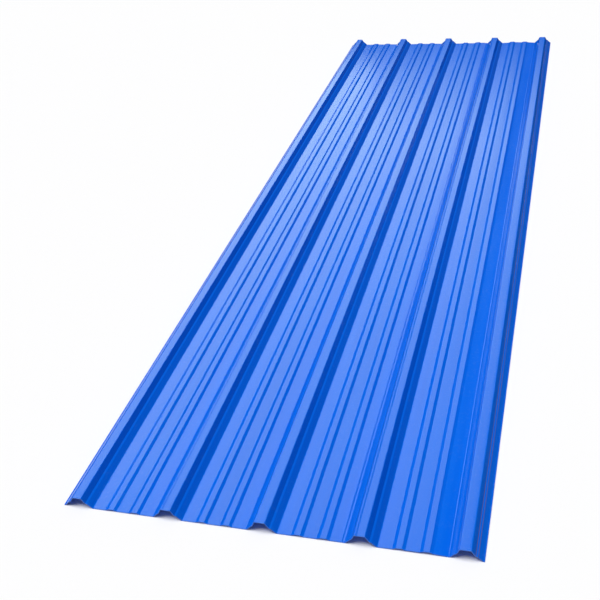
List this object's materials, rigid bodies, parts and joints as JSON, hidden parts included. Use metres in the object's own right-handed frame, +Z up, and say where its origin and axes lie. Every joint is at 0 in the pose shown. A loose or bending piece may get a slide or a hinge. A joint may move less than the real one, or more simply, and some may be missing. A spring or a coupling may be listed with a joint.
{
  "type": "upvc roofing sheet",
  "caption": "Long blue rigid plastic roofing sheet with raised trapezoid ribs, flat pans between them and low stiffening swages in each pan.",
  "frame": {"origin": "middle of the underside, on the level that the pans and side lips lie on", "axes": "+X across the ribs, +Y along the ribs, +Z up out of the weather face"},
  "size_m": [0.911, 3, 0.027],
  "materials": {
    "sheet": "glossy blue, coloured through, smooth as extruded"
  },
  "bodies": {
    "root": {"roofing_sheet": "sheet"}
  },
  "joints": []
}
